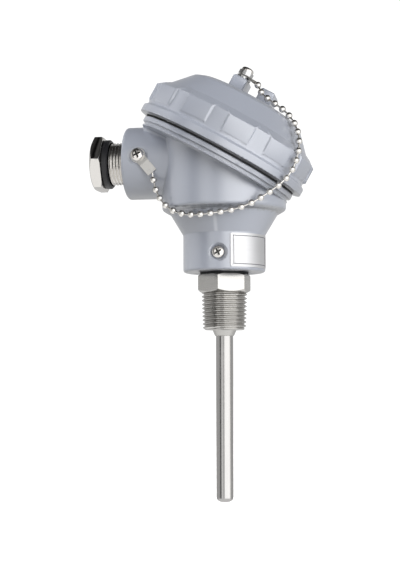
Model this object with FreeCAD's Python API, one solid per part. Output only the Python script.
"""Resistance thermometer with a connection head.

A closed steel sheath carries a platinum element in its tip. It is welded into a hexagon fitting with a
taper thread, which screws into the neck of a die-cast head. The head's mouth slopes, and a screw cap with
twelve grip pads closes it against a flat seal. A ball chain keeps the cap with the head. Cables come in
through a hollow hexagon screw in the side boss, and end on a ceramic block inside.

Frame: Z is the axis of the sheath, upwards. The origin lies on that axis, at the shoulder where the
hexagon meets the top of the process thread. The cable entry points along -X, the lock screw along -Y,
and the cap leans towards +X. Lengths are millimetres, angles are degrees.
"""

import FreeCAD, Part

import math
import os

V = FreeCAD.Vector

# Clearances and seats
RUNNING_GAP = 0.3      # between pieces that turn or slide past each other
SEAT_GAP = 0.1         # between pieces that are slipped or screwed into each other
HOLE_SPARE = 0.5       # a blind hole is this much deeper than its screw
CUT_PAST = 5.0         # how far a cutting shape reaches past the surface that it cuts
OVERLAP = 1.0          # how far two shapes reach into each other where they become one solid

# Sheath and what it holds
SHEATH_R = 4.0
SHEATH_WALL = 0.6
INSERTION_LENGTH = 96.0    # from the thread's shoulder to the tip
SHEATH_TOP = 28.0          # height of the open end inside the neck
SHEATH_SEAT_R = 3.8        # turned down where the fitting holds it
TIP_ROUNDING = 2.3
TIP_WALL = 1.5
ELEMENT_R = 1.6
ELEMENT_LENGTH = 25.0
ELEMENT_TO_TIP = 1.0       # clear space between the element and the closed end
LEAD_COUNT = 3
LEAD_R = 0.35
LEAD_CIRCLE_R = 1.0
POTTING_DEPTH = 7.0

# Process fitting: hexagon, taper thread below it, parallel nipple above it
HEX_FLATS = 22.0
HEX_HEIGHT = 8.7
HEX_TURN = 55.0            # angle of a corner from -Y towards +X
THREAD_LENGTH = 17.0
THREAD_R_TOP = 10.6
TAPER = 1.0 / 16.0         # on the diameter
THREAD_PITCH = 1.814
THREAD_DEPTH = 1.15
WELD_R = 5.5
WELD_LENGTH = 2.7
NIPPLE_R = 10.0
NIPPLE_LENGTH = 16.0
FITTING_SEAL_R = 11.2
FITTING_SEAL_THICKNESS = 0.9

# Head, turned part about Z
NECK_R = 19.1
NECK_TOP = 26.9
CONE_R = 24.9
CONE_TOP = 36.6
BELT_R = 28.8
BELT_BOTTOM = 38.9
BELT_TOP = 42.6
WALL_R = 27.6
WALL_THICKNESS = 3.6
LEDGE_Z = 40.0             # seat of the terminal block
WELL_R = 18.5              # room below the block
WELL_FLOOR = 33.5
WELL_SLOPE = 3.0           # the well is this much narrower at its floor
WALL_START = 0.8           # height over which the belt draws in to the wall
LEAD_HOLE_R = 5.0
PILLAR_R = 4.2

# Mouth of the head: the plane of the seal and what stands on it
CAP_TILT = 29.0
MOUTH_X = -2.1
MOUTH_Z = 65.0
FLANGE_R = 39.1
FLANGE_THICKNESS = 4.5
FLANGE_LIP = 2.4           # height of the upper lip, above the groove
FLANGE_GROOVE = 1.2        # height of the groove between the two lips
FLANGE_GROOVE_R = 37.7
FLANGE_FOOT_R = 38.4       # lower lip
SPIGOT_R = 35.0
SPIGOT_BORE_R = 31.0
GASKET_THICKNESS = 1.4
GASKET_R = 38.6

# Cable boss, along -X
BOSS_R = 17.0
BOSS_Z = 62.0
BOSS_END = -45.8
BOSS_ROUNDING = 1.4
BOSS_FILLET = 1.2          # where the boss meets the flange
ENTRY_SHOULDER = -28.0     # where the threaded hole steps in
ENTRY_THROAT_R = 7.0

# Cap, in its own frame: x down the slope, z along the cap's axis, from the middle of the seal
CAP_RIM_R = 42.3
CAP_RIM_TOP = 4.0
CAP_LIP_R = 38.9           # the rim's lower edge hangs outside the seal
CAP_LIP_H = 0.2
CAP_BAND_R = 39.5
CAP_BAND_BOTTOM = 6.0
CAP_BAND_TOP = 15.6
CAP_SHOULDER_R = 36.4
CAP_SHOULDER_H = 18.1
CAP_CONE_R = 28.2
CAP_CONE_H = 27.0
CAP_TOP_R = 24.4
CAP_TOP_RISE = 1.6         # of the flat top over the cone's upper edge
CAP_WALL = 3.2
CAP_THREAD_DEPTH = 11.5
CAP_LEAD = 2.0             # rise for one turn
CAP_TURNS = 4.0
SPIGOT_RUN_IN = 1.5        # plain length of the spigot beside the seal
PAD_COUNT = 12
PAD_TURN = 15.0            # first pad's angle from -Y
PAD_FACE_R = 41.35
PAD_FACE_WIDTH = 12.4
PAD_FACE_LOW = 7.05
PAD_FACE_HIGH = 14.7
PAD_ROOT_R = 37.5          # each side spreads from the face down to here
PAD_SPREAD = 2.3
EAR_WIDTH = 7.4
EAR_DEPTH = 14.0
EAR_HEIGHT = 7.8           # above the flat top
EAR_OFFSET = 7.3           # of each ear's middle from the cap's axis
EAR_CHAMFER = 0.8

# Gland: hollow hexagon screw, ring, washer and grommet
GLAND_FLATS = 24.0
GLAND_HEX_TURN = 87.2      # angle of a corner from the top towards -Y
GLAND_HEX_LENGTH = 5.35
GLAND_THREAD_R = 10.0
GLAND_THREAD_LENGTH = 15.2
GLAND_PITCH = 1.5
GLAND_THREAD_DEPTH = 0.85
GLAND_BORE_R = 6.5
GLAND_TURNS = 5.0          # still to go until the ring meets the boss
GLAND_RING_ROOM = 0.35
RING_R = 11.6
RING_LENGTH = 3.1
RING_CHAMFER = 0.6
GROMMET_LENGTH = 5.0
GROMMET_BORE_R = 4.5
WASHER_THICKNESS = 0.8

# Terminal block and its metal
BLOCK_R = 21.0
BLOCK_HEIGHT = 9.0
BLOCK_CHAMFER = 1.0
BLOCK_SINK = 2.0           # depth of the seats of its screws
BLOCK_HOLE_R = 4.5
BLOCK_SCREW_PITCH = 33.0
BLOCK_SCREW_R = 2.0
BLOCK_SCREW_HEAD_R = 3.5
BLOCK_SCREW_HEAD = 2.6
BLOCK_SCREW_GRIP = 6.0     # length in the pillar
BLOCK_WASHER_R = 4.4
BLOCK_WASHER = 0.8
TERMINAL_COUNT = 3
TERMINAL_LENGTH = 10.0
TERMINAL_WIDTH = 6.4
TERMINAL_HEIGHT = 5.0
TERMINAL_SUNK = 2.0
TERMINAL_MIDDLE_R = 13.0
TERMINAL_SCREW_R = 1.5
TERMINAL_SCREW_HEAD_R = 2.2
TERMINAL_SCREW_HEAD = 1.8
TERMINAL_SCREW_SPREAD = 5.0
LEAD_BEND_R = 3.0
LEAD_ABOVE_BLOCK = 1.2

# Small metal outside
LOCK_SCREW_Z = 17.7
LOCK_SCREW_R = 2.2
LOCK_HEAD_R = 2.8
LOCK_HEAD = 1.6
LOCK_SEAT_R = 4.35
LOCK_SEAT_DEPTH = 0.8      # below the neck's surface
PLATE_START = 17.0         # angles from -Y towards +X
PLATE_END = 86.0
PLATE_BOTTOM = 11.0
PLATE_TOP = 26.4
PLATE_THICKNESS = 0.45
CLIP_SCREW_R = 1.5
CLIP_SCREW_GRIP = 5.0
CLIP_HEAD_R = 3.0
CLIP_HEAD = 2.2
CLIP_WASHER_R = 3.6
CLIP_WASHER = 0.65
CLIP_THICKNESS = 0.6
CLIP_WIDTH = 4.8
CLIP_TAIL = 2.9            # behind the screw
CLIP_FLAT = 4.8            # from the screw to the bend
CLIP_DROP_LENGTH = 6.0     # from the bend to the fold
UPPER_CLIP_DROP = 18.0     # angle of the part past the bend, down from the flat part
LOWER_CLIP_DROP = 10.0
CLIP_FOLD = 1.5
LOWER_CLIP_X = -37.6
LOWER_CLIP_ANGLE = 4.0     # of the screw above -Y, about the boss's axis
LOWER_CLIP_TURN = -50.0    # of the strip, from +X upwards
LOWER_WASHER_COUNT = 1
LOWER_SEAT_R = 4.8
LOWER_SEAT_DEPTH = 0.6
UPPER_CLIP_TURN = -40.0    # of the strip, from down the slope; towards -Y is negative
UPPER_WASHER_COUNT = 2     # under the strip
TOP_WASHER_COUNT = 3       # over it

# Ball chain between the clips
BEAD_R = 1.6
BEAD_SIDE_COUNT = 12
LINK_R = 0.4
CHAIN_PITCH = 4.75         # nearest length of one bead and one link; the real one divides the route evenly

# Heights that follow from the sizes above
CAP_TOP_H = CAP_CONE_H + CAP_TOP_RISE
EAR_TOP_H = CAP_TOP_H + EAR_HEIGHT

# Route of the chain, as it hangs: angle, height, and room between the beads and the outline there.
# On the cap the angle is from down the slope and the height is in the cap's frame.
CHAIN_ON_CAP = [(-50.5, EAR_TOP_H - 4.2, 0.3), (-36.9, CAP_TOP_H + 2.0, 8.6), (-31.7, CAP_CONE_H + 0.2, 2.2),
                (-30.4, CAP_SHOULDER_H + 2.6, 2.9), (-31.0, CAP_BAND_TOP - 3.3, 1.7),
                (-33.3, CAP_RIM_TOP - 0.9, 0.4)]
# On the head the angle is from +X and the height is the part's Z.
CHAIN_ON_HEAD = [(-45.8, BELT_TOP + 1.1, 5.9), (-57.7, BELT_BOTTOM - 0.1, 0.6), (-74.1, CONE_TOP - 0.8, 1.5),
                 (-94.3, CONE_TOP - 2.1, 0.7), (-115.4, CONE_TOP - 2.3, 0.9), (-133.7, CONE_TOP - 0.1, 2.4),
                 (-145.5, BELT_TOP - 0.1, 2.0), (-151.1, BOSS_Z - 10.8, 5.2)]

NECK_BOTTOM = HEX_HEIGHT + FITTING_SEAL_THICKNESS
SPIGOT_HEIGHT = CAP_LEAD * CAP_TURNS + SPIGOT_RUN_IN       # above the middle of the seal
GLAND_OPEN = GLAND_PITCH * GLAND_TURNS + GLAND_RING_ROOM   # bare thread between the ring and the boss
TIP_Z = -INSERTION_LENGTH
SPIGOT_BASE = -GASKET_THICKNESS / 2
GLAND_BORE_HOLE_R = GLAND_THREAD_R + SEAT_GAP + 0.1
BLOCK_TOP = LEDGE_Z + BLOCK_HEIGHT

# Carries a piece from the cap's frame into the part's frame
MOUTH = FreeCAD.Placement(V(MOUTH_X, 0, MOUTH_Z), FreeCAD.Rotation(V(0, 1, 0), CAP_TILT))


def from_minus_y(angle):
    """Unit vector in the XY plane, at an angle from -Y towards +X."""
    turn = math.radians(angle)
    return V(math.sin(turn), -math.cos(turn), 0)


def on_circle(radius, angle):
    """Point on a circle about Z, at an angle from +X towards +Y."""
    turn = math.radians(angle)
    return V(radius * math.cos(turn), radius * math.sin(turn), 0)


def profile(corners):
    """Closed wire in the XZ plane through (radius, height, rounding) corners, with arcs at the rounded ones."""
    points = [V(c[0], 0, c[1]) for c in corners]
    roundings = [c[2] if len(c) > 2 else 0.0 for c in corners]
    count = len(points)
    starts, ends, arcs = [], [], []
    for i, (here, rounding) in enumerate(zip(points, roundings)):
        if not rounding:
            starts.append(here)
            ends.append(here)
            arcs.append(None)
            continue
        back = (points[i - 1] - here).normalize()
        on = (points[(i + 1) % count] - here).normalize()
        half = back.getAngle(on) / 2
        first = here + back * (rounding / math.tan(half))
        last = here + on * (rounding / math.tan(half))
        inward = (back + on).normalize()
        middle = here + inward * (rounding / math.sin(half) - rounding)
        starts.append(first)
        ends.append(last)
        arcs.append(Part.Arc(first, middle, last).toShape())
    edges = []
    for i in range(count):
        if arcs[i]:
            edges.append(arcs[i])
        following = starts[(i + 1) % count]
        if ends[i].distanceToPoint(following) > 1e-6:
            edges.append(Part.makeLine(ends[i], following))
    return Part.Wire(edges)


def turned(corners):
    """Solid of revolution about Z."""
    face = Part.Face(profile(corners))
    return face.revolve(V(0, 0, 0), V(0, 0, 1), 360)


def rod(radius, start, end):
    """Cylinder between two points."""
    along = end - start
    return Part.makeCylinder(radius, along.Length, start, along)


def ring(outer_r, inner_r, thickness):
    """Flat ring on Z = 0."""
    return Part.makeCylinder(outer_r, thickness).cut(Part.makeCylinder(inner_r, thickness))


def looking_along(point, axis, turn=0.0):
    """Placement that puts Z = 0 at a point and turns Z to an axis, after a turn about Z."""
    aim = FreeCAD.Rotation(V(0, 0, 1), axis)
    return FreeCAD.Placement(point, aim.multiply(FreeCAD.Rotation(V(0, 0, 1), turn)))


def placed(shape, placement):
    """Copy of a shape, moved by a placement."""
    copy = shape.copy()
    copy.Placement = placement.multiply(copy.Placement)
    return copy


def fused(shapes):
    """One solid from several that meet."""
    whole = shapes[0].fuse(shapes[1:]) if len(shapes) > 1 else shapes[0]
    return whole.removeSplitter()


def hexagon(flats, height, bevel_bottom, bevel_top):
    """Hexagonal prism on Z = 0 with a corner on +X and its corners turned down at 30 degrees."""
    corner_r = flats / math.sqrt(3)
    corners = [on_circle(corner_r, 60 * i) for i in range(6)]
    prism = Part.Face(Part.makePolygon(corners + corners[:1])).extrude(V(0, 0, height))
    slope = math.tan(math.radians(30))
    outline = [(0, 0), (corner_r - bevel_bottom / slope, 0), (corner_r, bevel_bottom)]
    outline += [(corner_r, height - bevel_top), (corner_r - bevel_top / slope, height), (0, height)]
    return prism.common(turned(outline))


def ridges(r_start, r_end, length, pitch, depth):
    """Outline of thread ridges from Z = 0 upwards: (radius, height) points from the first root to the last."""
    count = int(length / pitch)
    points = []
    for i in range(count):
        at = (i + 0.5) * pitch
        crest = r_start + (r_end - r_start) * at / length
        points.append((crest - depth, i * pitch + 0.05 * pitch))
        points.append((crest, at - 0.08 * pitch))
        points.append((crest, at + 0.08 * pitch))
        points.append((crest - depth, (i + 1) * pitch - 0.05 * pitch))
    return points


def cross_recess(radius, depth):
    """Cross-shaped driver recess, cut downwards from Z = 0."""
    width = radius * 0.34
    arms = []
    for turn in (0, 90):
        wide = Part.makeBox(2 * radius, width, depth, V(-radius, -width / 2, -depth))
        arms.append(placed(wide, FreeCAD.Placement(V(), FreeCAD.Rotation(V(0, 0, 1), turn + 45))))
    return arms[0].fuse(arms[1])


def pan_screw(shank_r, shank_length, head_r, head):
    """Screw with its head's underside on Z = 0, head upwards and shank downwards."""
    shank = turned([(0, -shank_length), (shank_r - 0.3, -shank_length), (shank_r, 0.3 - shank_length),
                    (shank_r, 0), (head_r, 0), (head_r, head * 0.45),
                    (head_r * 0.72, head * 0.9), (head_r * 0.3, head), (0, head)])
    recess = placed(cross_recess(head_r * 0.58, head * 0.5), FreeCAD.Placement(V(0, 0, head), FreeCAD.Rotation()))
    return shank.cut(recess)


def cheese_screw(shank_r, shank_length, head_r, head):
    """Slotted screw with its head's underside on Z = 0."""
    body = turned([(0, -shank_length), (shank_r, -shank_length), (shank_r, 0), (head_r, 0),
                   (head_r, head - 0.3), (head_r - 0.3, head), (0, head)])
    slot_width = head_r * 0.3
    slot_depth = head * 0.4
    slot = Part.makeBox(2 * head_r + 1, slot_width, slot_depth + 1,
                        V(-head_r - 0.5, -slot_width / 2, head - slot_depth))
    return body.cut(slot)


def make_sheath():
    """Closed tube. Its upper end is turned down, and its step stands against the weld."""
    inner_r = SHEATH_R - SHEATH_WALL
    step = -THREAD_LENGTH - WELD_LENGTH
    return turned([(0, TIP_Z), (SHEATH_R, TIP_Z, TIP_ROUNDING), (SHEATH_R, step), (SHEATH_SEAT_R, step),
                   (SHEATH_SEAT_R, SHEATH_TOP), (inner_r, SHEATH_TOP), (inner_r, TIP_Z + TIP_WALL),
                   (0, TIP_Z + TIP_WALL)])


def element_top():
    return TIP_Z + TIP_WALL + ELEMENT_TO_TIP + ELEMENT_LENGTH


def lead_angles():
    return [360.0 * i / LEAD_COUNT for i in range(LEAD_COUNT)]


def with_lead_holes(body, low, high):
    """Bores for the leads, right through a round piece about Z."""
    for angle in lead_angles():
        at = on_circle(LEAD_CIRCLE_R, angle)
        body = body.cut(rod(LEAD_R + SEAT_GAP, at + V(0, 0, low), at + V(0, 0, high)))
    return body


def make_rtd_element():
    body = Part.makeCylinder(ELEMENT_R, ELEMENT_LENGTH)
    return placed(body, FreeCAD.Placement(V(0, 0, element_top() - ELEMENT_LENGTH), FreeCAD.Rotation()))


def make_bore_rod():
    top = SHEATH_TOP - POTTING_DEPTH
    rod_r = SHEATH_R - SHEATH_WALL - SEAT_GAP
    body = rod(rod_r, V(0, 0, element_top()), V(0, 0, top))
    return with_lead_holes(body, element_top(), top)


def make_potting():
    low = SHEATH_TOP - POTTING_DEPTH
    body = rod(SHEATH_R - SHEATH_WALL - SEAT_GAP / 2, V(0, 0, low), V(0, 0, SHEATH_TOP))
    return with_lead_holes(body, low, SHEATH_TOP)


def make_lead_wires():
    """Each lead runs up from the element, through the block, and bends out to its terminal."""
    wires = []
    bend_top = BLOCK_TOP + LEAD_ABOVE_BLOCK
    for angle in lead_angles():
        out = on_circle(1, angle)
        start = out * LEAD_CIRCLE_R + V(0, 0, element_top())
        bend_start = out * LEAD_CIRCLE_R + V(0, 0, bend_top - LEAD_BEND_R)
        bend_end = out * (LEAD_CIRCLE_R + LEAD_BEND_R) + V(0, 0, bend_top)
        centre = bend_start + out * LEAD_BEND_R
        middle = centre + (V(0, 0, 1) - out) * (LEAD_BEND_R / math.sqrt(2))
        end = out * (TERMINAL_MIDDLE_R - TERMINAL_LENGTH / 2) + V(0, 0, bend_top)
        path = Part.Wire([Part.makeLine(start, bend_start), Part.Arc(bend_start, middle, bend_end).toShape(),
                          Part.makeLine(bend_end, end)])
        section = Part.Wire(Part.makeCircle(LEAD_R, start, V(0, 0, 1)))
        wires.append(path.makePipeShell([section], True, False))
    return Part.makeCompound(wires)


def make_process_fitting():
    taper_drop = THREAD_LENGTH * TAPER / 2
    r_bottom = THREAD_R_TOP - taper_drop
    thread = ridges(r_bottom, THREAD_R_TOP, THREAD_LENGTH, THREAD_PITCH, THREAD_DEPTH)
    root_r = r_bottom - THREAD_DEPTH
    outline = [(0, -THREAD_LENGTH - WELD_LENGTH), (SHEATH_R + 0.4, -THREAD_LENGTH - WELD_LENGTH)]
    outline += [(SHEATH_R + 0.9, -THREAD_LENGTH - WELD_LENGTH * 0.6), (WELD_R, -THREAD_LENGTH)]
    outline += [(root_r - 0.3, -THREAD_LENGTH)]
    outline += [(r, z - THREAD_LENGTH) for r, z in thread]
    outline += [(THREAD_R_TOP - THREAD_DEPTH, 0), (0, 0)]
    stem = turned(outline)
    nut = hexagon(HEX_FLATS, HEX_HEIGHT, 1.5, 0.7)
    nut = placed(nut, FreeCAD.Placement(V(), FreeCAD.Rotation(V(0, 0, 1), HEX_TURN - 90)))
    nipple = turned([(0, HEX_HEIGHT), (NIPPLE_R - 0.9, HEX_HEIGHT), (NIPPLE_R - 0.9, HEX_HEIGHT + 1.6),
                     (NIPPLE_R, HEX_HEIGHT + 2.4), (NIPPLE_R, HEX_HEIGHT + NIPPLE_LENGTH - 1),
                     (NIPPLE_R - 1, HEX_HEIGHT + NIPPLE_LENGTH), (0, HEX_HEIGHT + NIPPLE_LENGTH)])
    body = fused([stem, nut, nipple])
    top = HEX_HEIGHT + NIPPLE_LENGTH
    return body.cut(rod(SHEATH_SEAT_R + SEAT_GAP / 2, V(0, 0, -THREAD_LENGTH - WELD_LENGTH), V(0, 0, top)))


def make_fitting_seal():
    seal = ring(FITTING_SEAL_R, NIPPLE_R + SEAT_GAP, FITTING_SEAL_THICKNESS)
    return placed(seal, FreeCAD.Placement(V(0, 0, HEX_HEIGHT), FreeCAD.Rotation()))


def lower_clip_axis():
    turn = math.radians(LOWER_CLIP_ANGLE)
    return V(0, -math.cos(turn), math.sin(turn))


def lower_clip_seat():
    return V(LOWER_CLIP_X, 0, BOSS_Z) + lower_clip_axis() * (BOSS_R - LOWER_SEAT_DEPTH)


def lock_seat():
    return V(0, LOCK_SEAT_DEPTH - NECK_R, LOCK_SCREW_Z)


def block_screw_points():
    half = BLOCK_SCREW_PITCH / 2
    return [V(0, -half, 0), V(0, half, 0)]


def head_outside():
    """Neck, cone, belt and wall, cut off by the sloping flange, with the flange and the cable boss."""
    far = 60.0
    column = turned([(0, NECK_BOTTOM), (NECK_R, NECK_BOTTOM, 1.3), (NECK_R, NECK_TOP, 2.0),
                     (CONE_R, CONE_TOP), (BELT_R, BELT_BOTTOM, 1.6), (BELT_R, BELT_TOP, 0.9),
                     (WALL_R, BELT_TOP + WALL_START), (WALL_R, MOUTH_Z + far), (0, MOUTH_Z + far)])
    flange_low = SPIGOT_BASE - FLANGE_THICKNESS
    below_mouth = placed(Part.makeCylinder(2 * far, 2 * far, V(0, 0, -2 * far - FLANGE_THICKNESS / 2)), MOUTH)
    column = column.common(below_mouth)
    lip_low = SPIGOT_BASE - FLANGE_LIP
    foot_top = lip_low - FLANGE_GROOVE
    bevel = 0.3
    flange = turned([(0, flange_low), (FLANGE_FOOT_R - bevel, flange_low), (FLANGE_FOOT_R, flange_low + bevel),
                     (FLANGE_FOOT_R, foot_top - bevel), (FLANGE_FOOT_R - bevel, foot_top),
                     (FLANGE_GROOVE_R, foot_top), (FLANGE_GROOVE_R, lip_low), (FLANGE_R - bevel, lip_low),
                     (FLANGE_R, lip_low + bevel), (FLANGE_R, SPIGOT_BASE - bevel),
                     (FLANGE_R - bevel, SPIGOT_BASE), (0, SPIGOT_BASE)])
    spigot = Part.makeCylinder(SPIGOT_R, SPIGOT_HEIGHT - SPIGOT_BASE, V(0, 0, SPIGOT_BASE))
    boss = turned([(0, 0), (BOSS_R, 0), (BOSS_R, -BOSS_END, BOSS_ROUNDING), (0, -BOSS_END)])
    boss = placed(boss, looking_along(V(0, 0, BOSS_Z), V(-1, 0, 0)))
    boss = boss.common(placed(Part.makeCylinder(2 * far, 2 * far, V(0, 0, SPIGOT_BASE - 1 - 2 * far)), MOUTH))
    body = fused([column, boss, placed(flange, MOUTH), placed(spigot, MOUTH)])
    from_mouth = MOUTH.inverse()

    def under_flange(edge):
        """Whether an edge lies where the boss meets the flange's underside."""
        points = edge.discretize(5)
        on_plane = all(abs(from_mouth.multVec(p).z - flange_low) < 0.01 for p in points)
        on_boss = all(abs(math.hypot(p.y, p.z - BOSS_Z) - BOSS_R) < 0.01 for p in points)
        return on_plane and on_boss

    return body.makeFillet(BOSS_FILLET, [e for e in body.Edges if under_flange(e)])


def make_housing():
    body = head_outside()
    bowl_r = WALL_R - WALL_THICKNESS
    far = 60.0
    ledge_to_mouth = Part.makeCylinder(bowl_r, far, V(0, 0, LEDGE_Z))
    under_flange = Part.makeCylinder(2 * far, 2 * far, V(0, 0, SPIGOT_BASE - 2 - 2 * far))
    bowl = ledge_to_mouth.common(placed(under_flange, MOUTH))
    mouth = placed(Part.makeCylinder(SPIGOT_BORE_R, far, V(0, 0, SPIGOT_BASE - 2)), MOUTH)
    well = turned([(0, WELL_FLOOR), (WELL_R - WELL_SLOPE, WELL_FLOOR), (WELL_R, LEDGE_Z),
                   (WELL_R, LEDGE_Z + OVERLAP), (0, LEDGE_Z + OVERLAP)])
    for point in block_screw_points():
        well = well.cut(rod(PILLAR_R, point + V(0, 0, WELL_FLOOR), point + V(0, 0, LEDGE_Z)))
    body = body.cut([bowl, mouth, well])
    nipple_top = HEX_HEIGHT + NIPPLE_LENGTH
    holes = [rod(NIPPLE_R + SEAT_GAP, V(0, 0, NECK_BOTTOM), V(0, 0, nipple_top + HOLE_SPARE)),
             rod(LEAD_HOLE_R, V(0, 0, NECK_BOTTOM), V(0, 0, WELL_FLOOR)),
             rod(GLAND_BORE_HOLE_R, V(BOSS_END, 0, BOSS_Z), V(ENTRY_SHOULDER, 0, BOSS_Z)),
             rod(ENTRY_THROAT_R, V(BOSS_END, 0, BOSS_Z), V(0, 0, BOSS_Z))]
    for point in block_screw_points():
        depth = BLOCK_SCREW_GRIP + HOLE_SPARE
        holes.append(rod(BLOCK_SCREW_R + SEAT_GAP, point + V(0, 0, LEDGE_Z - depth), point + V(0, 0, LEDGE_Z)))
    seat = lower_clip_seat()
    holes.append(rod(LOWER_SEAT_R, seat, seat + lower_clip_axis() * CUT_PAST))
    holes.append(rod(CLIP_SCREW_R + SEAT_GAP, seat - lower_clip_axis() * (CLIP_SCREW_GRIP + HOLE_SPARE), seat))
    holes.append(rod(LOCK_SEAT_R, lock_seat(), lock_seat() + V(0, -CUT_PAST, 0)))
    holes.append(rod(LOCK_SCREW_R + SEAT_GAP, lock_seat(), V(0, 0, LOCK_SCREW_Z)))
    return body.cut(holes)


def shoulder_height(radius):
    """Height of the cap's shoulder slope at a radius."""
    run = (CAP_BAND_R - radius) / (CAP_BAND_R - CAP_SHOULDER_R)
    return CAP_BAND_TOP + run * (CAP_SHOULDER_H - CAP_BAND_TOP)


def pad():
    """One grip pad of the cap, with its flat face towards +X. Its sides spread inwards to the root."""
    def rectangle(x, half_width, low, high):
        corners = [V(x, -half_width, low), V(x, half_width, low), V(x, half_width, high), V(x, -half_width, high)]
        return Part.makePolygon(corners + corners[:1])
    root = rectangle(PAD_ROOT_R, PAD_FACE_WIDTH / 2 + PAD_SPREAD, PAD_FACE_LOW - PAD_SPREAD,
                     shoulder_height(PAD_ROOT_R))
    face = rectangle(PAD_FACE_R, PAD_FACE_WIDTH / 2, PAD_FACE_LOW, PAD_FACE_HIGH)
    return Part.makeLoft([root, face], True, True)


def ear(middle_x):
    """One of the two wrench ears on the flat top, with chamfered edges."""
    base = CAP_TOP_H - OVERLAP
    block = Part.makeBox(EAR_WIDTH, EAR_DEPTH, EAR_TOP_H - base, V(middle_x - EAR_WIDTH / 2, -EAR_DEPTH / 2, base))
    edges = [e for e in block.Edges if e.CenterOfMass.z > base + 0.1]
    return block.makeChamfer(EAR_CHAMFER, edges)


def make_cap():
    rim_h = GASKET_THICKNESS / 2 + SEAT_GAP
    outside = turned([(0, rim_h), (CAP_LIP_R, rim_h), (CAP_LIP_R, CAP_LIP_H), (CAP_RIM_R, CAP_LIP_H, 1.0),
                      (CAP_RIM_R, CAP_RIM_TOP, 0.8), (CAP_BAND_R, CAP_BAND_BOTTOM),
                      (CAP_BAND_R, CAP_BAND_TOP), (CAP_SHOULDER_R, CAP_SHOULDER_H, 1.2),
                      (CAP_CONE_R, CAP_CONE_H, 1.5), (CAP_TOP_R, CAP_TOP_H, 1.5), (0, CAP_TOP_H)])
    pads = []
    for i in range(PAD_COUNT):
        turn = PAD_TURN - 90 + 360.0 * i / PAD_COUNT
        pads.append(placed(pad(), about_z(turn, 0)))
    solid = fused([outside] + pads + [ear(-EAR_OFFSET), ear(EAR_OFFSET)])
    thread_r = SPIGOT_R + RUNNING_GAP
    inner_cone_r = CAP_CONE_R - CAP_WALL
    inside = turned([(0, 0), (thread_r, 0), (thread_r, CAP_THREAD_DEPTH), (thread_r - 1.6, CAP_THREAD_DEPTH + 1),
                     (thread_r - 1.6, CAP_BAND_TOP), (inner_cone_r, CAP_CONE_H - CAP_WALL + 0.6),
                     (CAP_TOP_R - CAP_WALL, CAP_TOP_H - CAP_WALL), (0, CAP_TOP_H - CAP_WALL)])
    screw_hole = rod(CLIP_SCREW_R + SEAT_GAP, V(-EAR_OFFSET, 0, EAR_TOP_H - CLIP_SCREW_GRIP - HOLE_SPARE),
                     V(-EAR_OFFSET, 0, EAR_TOP_H))
    return placed(solid.cut([inside, screw_hole]), MOUTH)


def make_cap_gasket():
    seal = ring(GASKET_R, SPIGOT_R + RUNNING_GAP, GASKET_THICKNESS)
    return placed(seal, MOUTH.multiply(FreeCAD.Placement(V(0, 0, SPIGOT_BASE), FreeCAD.Rotation())))


def gland_frame(x):
    """Placement for gland pieces that are turned about Z: their Z = 0 goes to x, pointing along -X."""
    return looking_along(V(x, 0, BOSS_Z), V(-1, 0, 0))


def make_gland_screw():
    nut = hexagon(GLAND_FLATS, GLAND_HEX_LENGTH, 0.6, 1.4)
    nut = placed(nut, FreeCAD.Placement(V(), FreeCAD.Rotation(V(0, 0, 1), -GLAND_HEX_TURN)))
    thread = ridges(GLAND_THREAD_R, GLAND_THREAD_R, GLAND_THREAD_LENGTH - RING_LENGTH, GLAND_PITCH,
                    GLAND_THREAD_DEPTH)
    root_r = GLAND_THREAD_R - GLAND_THREAD_DEPTH
    outline = [(0, -GLAND_THREAD_LENGTH)]
    outline += [(r, z - GLAND_THREAD_LENGTH) for r, z in thread]
    outline += [(root_r, 0), (0, 0)]
    body = fused([nut, turned(outline)])
    body = body.cut(rod(GLAND_BORE_R, V(0, 0, -GLAND_THREAD_LENGTH), V(0, 0, GLAND_HEX_LENGTH)))
    return placed(body, gland_frame(BOSS_END - GLAND_OPEN - RING_LENGTH))


def make_gland_ring():
    outline = [(GLAND_THREAD_R + RUNNING_GAP, 0), (RING_R - RING_CHAMFER, 0), (RING_R, RING_CHAMFER),
               (RING_R, RING_LENGTH - RING_CHAMFER), (RING_R - RING_CHAMFER, RING_LENGTH),
               (GLAND_THREAD_R + RUNNING_GAP, RING_LENGTH)]
    return placed(turned(outline), gland_frame(BOSS_END - GLAND_OPEN))


def make_gland_grommet():
    outline = [(GROMMET_BORE_R, 0), (GLAND_THREAD_R - SEAT_GAP, 0), (GLAND_THREAD_R - SEAT_GAP, GROMMET_LENGTH),
               (GROMMET_BORE_R, GROMMET_LENGTH)]
    return placed(turned(outline), gland_frame(ENTRY_SHOULDER))


def make_gland_washer():
    washer = ring(GLAND_THREAD_R - SEAT_GAP, GLAND_BORE_R, WASHER_THICKNESS)
    return placed(washer, gland_frame(ENTRY_SHOULDER - GROMMET_LENGTH))


def terminal_angles():
    return [360.0 * i / TERMINAL_COUNT for i in range(TERMINAL_COUNT)]


def about_z(angle, height):
    return FreeCAD.Placement(V(0, 0, height), FreeCAD.Rotation(V(0, 0, 1), angle))


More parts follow.
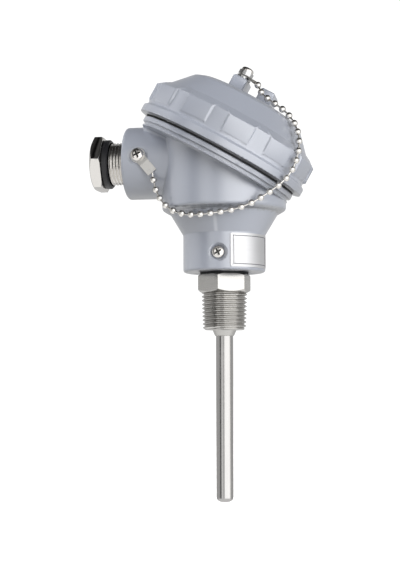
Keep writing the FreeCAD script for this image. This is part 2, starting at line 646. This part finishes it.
def make_terminal_block():
    body = turned([(BLOCK_HOLE_R, 0), (BLOCK_R, 0), (BLOCK_R, BLOCK_HEIGHT - BLOCK_CHAMFER),
                   (BLOCK_R - BLOCK_CHAMFER, BLOCK_HEIGHT), (BLOCK_HOLE_R, BLOCK_HEIGHT)])
    pocket = Part.makeBox(TERMINAL_LENGTH + 2 * SEAT_GAP, TERMINAL_WIDTH + 2 * SEAT_GAP, TERMINAL_SUNK + CUT_PAST,
                          V(TERMINAL_MIDDLE_R - TERMINAL_LENGTH / 2 - SEAT_GAP, -TERMINAL_WIDTH / 2 - SEAT_GAP,
                            BLOCK_HEIGHT - TERMINAL_SUNK))
    for angle in terminal_angles():
        body = body.cut(placed(pocket, about_z(angle, 0)))
    for point in block_screw_points():
        body = body.cut(rod(BLOCK_SCREW_R + SEAT_GAP, point, point + V(0, 0, BLOCK_HEIGHT)))
        floor = point + V(0, 0, BLOCK_HEIGHT - BLOCK_SINK)
        body = body.cut(rod(BLOCK_WASHER_R + SEAT_GAP, floor, floor + V(0, 0, CUT_PAST)))
    return placed(body, about_z(0, LEDGE_Z))


def terminal_screw_spots():
    return [TERMINAL_MIDDLE_R + side * TERMINAL_SCREW_SPREAD / 2 for side in (-1, 1)]


def make_terminals():
    bar = Part.makeBox(TERMINAL_LENGTH, TERMINAL_WIDTH, TERMINAL_HEIGHT,
                       V(TERMINAL_MIDDLE_R - TERMINAL_LENGTH / 2, -TERMINAL_WIDTH / 2, -TERMINAL_SUNK))
    grip = TERMINAL_HEIGHT - 1
    for spot in terminal_screw_spots():
        high = TERMINAL_HEIGHT - TERMINAL_SUNK
        bar = bar.cut(rod(TERMINAL_SCREW_R + SEAT_GAP / 2, V(spot, 0, high - grip), V(spot, 0, high)))
    return Part.makeCompound([placed(bar, about_z(a, BLOCK_TOP)) for a in terminal_angles()])


def make_terminal_screws():
    screw = cheese_screw(TERMINAL_SCREW_R, TERMINAL_HEIGHT - 1.3, TERMINAL_SCREW_HEAD_R, TERMINAL_SCREW_HEAD)
    top = BLOCK_TOP + TERMINAL_HEIGHT - TERMINAL_SUNK
    screws = []
    for angle in terminal_angles():
        for spot in terminal_screw_spots():
            screws.append(placed(screw, FreeCAD.Placement(on_circle(spot, angle) + V(0, 0, top),
                                                          FreeCAD.Rotation(V(0, 0, 1), angle + 20))))
    return Part.makeCompound(screws)


def block_washer_bottom():
    return BLOCK_TOP - BLOCK_SINK


def make_block_washers():
    washer = ring(BLOCK_WASHER_R, BLOCK_SCREW_R + SEAT_GAP, BLOCK_WASHER)
    low = V(0, 0, block_washer_bottom())
    return Part.makeCompound([placed(washer, FreeCAD.Placement(p + low, FreeCAD.Rotation()))
                              for p in block_screw_points()])


def make_block_screws():
    seat = block_washer_bottom() + BLOCK_WASHER
    shank = seat - LEDGE_Z + BLOCK_SCREW_GRIP
    screw = pan_screw(BLOCK_SCREW_R, shank, BLOCK_SCREW_HEAD_R, BLOCK_SCREW_HEAD)
    return Part.makeCompound([placed(screw, FreeCAD.Placement(p + V(0, 0, seat), FreeCAD.Rotation()))
                              for p in block_screw_points()])


def make_lock_screw():
    shank = NECK_R - LOCK_SEAT_DEPTH - NIPPLE_R - SEAT_GAP
    screw = pan_screw(LOCK_SCREW_R, shank, LOCK_HEAD_R, LOCK_HEAD)
    return placed(screw, looking_along(lock_seat(), V(0, -1, 0), 12))


def make_name_plate():
    inner_r = NECK_R + SEAT_GAP / 2
    height = PLATE_TOP - PLATE_BOTTOM
    band = ring(inner_r + PLATE_THICKNESS, inner_r, height)
    reach = 2 * NECK_R
    middle = (PLATE_START + PLATE_END) / 2
    corners = [V(), from_minus_y(PLATE_START) * reach, from_minus_y(middle) * reach,
               from_minus_y(PLATE_END) * reach]
    wedge = Part.Face(Part.makePolygon(corners + corners[:1])).extrude(V(0, 0, height))
    plate = band.common(wedge)
    upright = [e for e in plate.Edges if abs(e.tangentAt(e.FirstParameter).z) > 0.99]
    across = [e for e in plate.Edges if e.Length < PLATE_THICKNESS * 1.01 and e not in upright]
    plate = plate.makeFillet(1.5, across) if len(across) == 4 else plate
    return placed(plate, about_z(0, PLATE_BOTTOM))


def clip_strip(drop_angle):
    """Bent strip: flat under the screw, then dropping to a folded lip where the chain is held."""
    drop = math.radians(drop_angle)
    bend = V(CLIP_FLAT, 0, 0)
    end = bend + V(math.cos(drop), 0, -math.sin(drop)) * CLIP_DROP_LENGTH
    up = V(math.sin(drop), 0, math.cos(drop))
    t = CLIP_THICKNESS
    under = [V(-CLIP_TAIL, 0, 0), bend, end, end + up * CLIP_FOLD,
             end + up * CLIP_FOLD - V(math.cos(drop), 0, -math.sin(drop)) * t]
    over = [end + up * t - V(math.cos(drop), 0, -math.sin(drop)) * t, bend + V(0, 0, t), V(-CLIP_TAIL, 0, t)]
    side = Part.Face(Part.makePolygon(under + over + under[:1]))
    strip = side.extrude(V(0, CLIP_WIDTH, 0))
    strip = placed(strip, FreeCAD.Placement(V(0, -CLIP_WIDTH / 2, 0), FreeCAD.Rotation()))
    tail = [e for e in strip.Edges if e.CenterOfMass.x < 0.01 - CLIP_TAIL and abs(e.tangentAt(0).z) > 0.9]
    strip = strip.makeFillet(CLIP_WIDTH / 2 - 0.1, tail)
    return strip.cut(rod(CLIP_SCREW_R + SEAT_GAP, V(0, 0, -CUT_PAST), V(0, 0, CUT_PAST)))


def clip_set(seat, under, over, turn, drop_angle):
    """Washers under and over the strip, the strip, and the screw of one chain clip, on a seat facing along its Z."""
    base = under * CLIP_WASHER
    washer = ring(CLIP_WASHER_R, CLIP_SCREW_R + SEAT_GAP, CLIP_WASHER)
    heights = [i * CLIP_WASHER for i in range(under)]
    heights += [base + CLIP_THICKNESS + i * CLIP_WASHER for i in range(over)]
    stack = [placed(washer, seat.multiply(about_z(0, height))) for height in heights]
    strip = placed(clip_strip(drop_angle), seat.multiply(about_z(turn, base)))
    under_head = base + CLIP_THICKNESS + over * CLIP_WASHER
    screw = pan_screw(CLIP_SCREW_R, CLIP_SCREW_GRIP + under_head, CLIP_HEAD_R, CLIP_HEAD)
    return Part.makeCompound(stack), strip, placed(screw, seat.multiply(about_z(turn + 30, under_head)))


def lower_clip_frame():
    """Z out of the boss, X along the part's +X."""
    z = lower_clip_axis()
    x = V(1, 0, 0)
    y = z.cross(x)
    matrix = FreeCAD.Matrix(x.x, y.x, z.x, 0, x.y, y.y, z.y, 0, x.z, y.z, z.z, 0, 0, 0, 0, 1)
    return FreeCAD.Placement(lower_clip_seat(), FreeCAD.Placement(matrix).Rotation)


def upper_clip_frame():
    return MOUTH.multiply(FreeCAD.Placement(V(-EAR_OFFSET, 0, EAR_TOP_H), FreeCAD.Rotation()))


def lip_frame(seat, under, turn, drop_angle):
    """Placement on the end face of a strip's folded lip, its Z pointing out of the face."""
    drop = math.radians(drop_angle)
    along = V(math.cos(drop), 0, -math.sin(drop))
    up = V(math.sin(drop), 0, math.cos(drop))
    middle = V(CLIP_FLAT, 0, 0) + along * CLIP_DROP_LENGTH + up * (CLIP_FOLD / 2)
    strip = seat.multiply(about_z(turn, under * CLIP_WASHER))
    return strip.multiply(FreeCAD.Placement(middle, FreeCAD.Rotation(V(0, 0, 1), along)))


def outline_radius(height, corners):
    """Radius of an outline at a height, from its (radius, height) corners, from the lowest to the highest."""
    if height <= corners[0][1]:
        return corners[0][0]
    for (low_r, low), (high_r, high) in zip(corners, corners[1:]):
        if height <= high:
            return low_r + (high_r - low_r) * (height - low) / (high - low)
    return corners[-1][0]


def chain_stations():
    """Points that the chain passes, from the upper clip to the lower one."""
    ear_corner_r = math.hypot(EAR_OFFSET + EAR_WIDTH / 2, EAR_DEPTH / 2)
    cap = [(CAP_RIM_R, CAP_RIM_TOP), (CAP_BAND_R, CAP_BAND_BOTTOM), (CAP_BAND_R, CAP_BAND_TOP),
           (CAP_SHOULDER_R, CAP_SHOULDER_H), (CAP_CONE_R, CAP_CONE_H), (CAP_TOP_R, CAP_TOP_H),
           (ear_corner_r, CAP_TOP_H + 0.01)]
    head = [(NECK_R, NECK_TOP), (CONE_R, CONE_TOP), (BELT_R, BELT_BOTTOM), (BELT_R, BELT_TOP),
            (WALL_R, BELT_TOP + WALL_START)]
    points = []
    for angle, height, room in CHAIN_ON_CAP:
        radius = outline_radius(height, cap) + BEAD_R + room
        points.append(MOUTH.multVec(on_circle(radius, angle) + V(0, 0, height)))
    for angle, height, room in CHAIN_ON_HEAD:
        radius = outline_radius(height, head) + BEAD_R + room
        points.append(on_circle(radius, angle) + V(0, 0, height))
    return points


def bead():
    """Faceted bead about Z with a flat at each end, where the links go in."""
    rings = []
    for latitude in (-60, -30, 0, 30, 60):
        turn = math.radians(latitude)
        corners = [on_circle(BEAD_R * math.cos(turn), 360.0 * i / BEAD_SIDE_COUNT) for i in range(BEAD_SIDE_COUNT)]
        ring_wire = Part.makePolygon(corners + corners[:1])
        rings.append(placed(ring_wire, about_z(0, BEAD_R * math.sin(turn))))
    return Part.makeLoft(rings, True, True)


def link(start, start_axis, end, end_axis, side):
    """Six-sided pin between two flats, bent a little where the flats aren't parallel."""
    rings = []
    for point, axis in ((start, start_axis), (end, end_axis)):
        first = (side - axis * side.dot(axis)).normalize()
        second = axis.cross(first)
        corners = []
        for i in range(6):
            turn = math.radians(60 * i)
            corners.append(point + first * (LINK_R * math.cos(turn)) + second * (LINK_R * math.sin(turn)))
        rings.append(Part.makePolygon(corners + corners[:1]))
    return Part.makeLoft(rings, True, True)


def make_chain():
    """Beads and links, from a bead that sits on the upper clip's lip to a link that ends on the lower clip's."""
    upper = lip_frame(upper_clip_frame(), UPPER_WASHER_COUNT, UPPER_CLIP_TURN, UPPER_CLIP_DROP)
    lower = lip_frame(lower_clip_frame(), LOWER_WASHER_COUNT, LOWER_CLIP_TURN, LOWER_CLIP_DROP)
    leave = upper.Rotation.multVec(V(0, 0, 1))
    arrive = lower.Rotation.multVec(V(0, 0, -1))
    flat = BEAD_R * math.sin(math.radians(60))
    middles = [upper.Base + leave * flat]
    axes = [leave]
    route = Part.BSplineCurve()
    route.interpolate(middles + chain_stations() + [lower.Base])
    whole = route.length() + flat
    count = round(whole / CHAIN_PITCH)
    pitch = whole / count
    for i in range(1, count):
        at = route.parameterAtDistance(i * pitch)
        middles.append(route.value(at))
        axes.append(V(*route.tangent(at)[0]).normalize())
    beads = [placed(bead(), looking_along(middle, axis)) for middle, axis in zip(middles, axes)]
    links = []
    for i in range(count):
        start = middles[i] + axes[i] * flat
        last = i == count - 1
        end = lower.Base if last else middles[i + 1] - axes[i + 1] * flat
        end_axis = arrive if last else axes[i + 1]
        side = axes[i].cross(V(0, 1, 0.3))
        links.append(link(start, axes[i], end, end_axis, side))
    return Part.makeCompound(beads), Part.makeCompound(links)


def build():
    nodes = {
        "housing": make_housing(),
        "cap": make_cap(),
        "cap_gasket": make_cap_gasket(),
        "gland_screw": make_gland_screw(),
        "gland_ring": make_gland_ring(),
        "gland_washer": make_gland_washer(),
        "gland_grommet": make_gland_grommet(),
        "process_fitting": make_process_fitting(),
        "fitting_seal": make_fitting_seal(),
        "sheath": make_sheath(),
        "rtd_element": make_rtd_element(),
        "bore_rod": make_bore_rod(),
        "potting": make_potting(),
        "lead_wires": make_lead_wires(),
        "terminal_block": make_terminal_block(),
        "terminals": make_terminals(),
        "terminal_screws": make_terminal_screws(),
        "block_washers": make_block_washers(),
        "block_screws": make_block_screws(),
        "lock_screw": make_lock_screw(),
        "name_plate": make_name_plate(),
    }
    sets = {"lower": clip_set(lower_clip_frame(), LOWER_WASHER_COUNT, 0, LOWER_CLIP_TURN, LOWER_CLIP_DROP),
            "upper": clip_set(upper_clip_frame(), UPPER_WASHER_COUNT, TOP_WASHER_COUNT, UPPER_CLIP_TURN,
                              UPPER_CLIP_DROP)}
    for name, (washers, strip, screw) in sets.items():
        nodes[name + "_clip_washers"] = washers
        nodes[name + "_clip"] = strip
        nodes[name + "_clip_screw"] = screw
    nodes["chain_beads"], nodes["chain_links"] = make_chain()
    return nodes


os.makedirs("parts", exist_ok=True)
for node, shape in build().items():
    solids = shape.Solids
    print(node, len(solids), "solid(s)", round(shape.Volume, 1), "mm3", "valid" if shape.isValid() else "NOT VALID")
    shape.exportStep("parts/" + node + ".step")
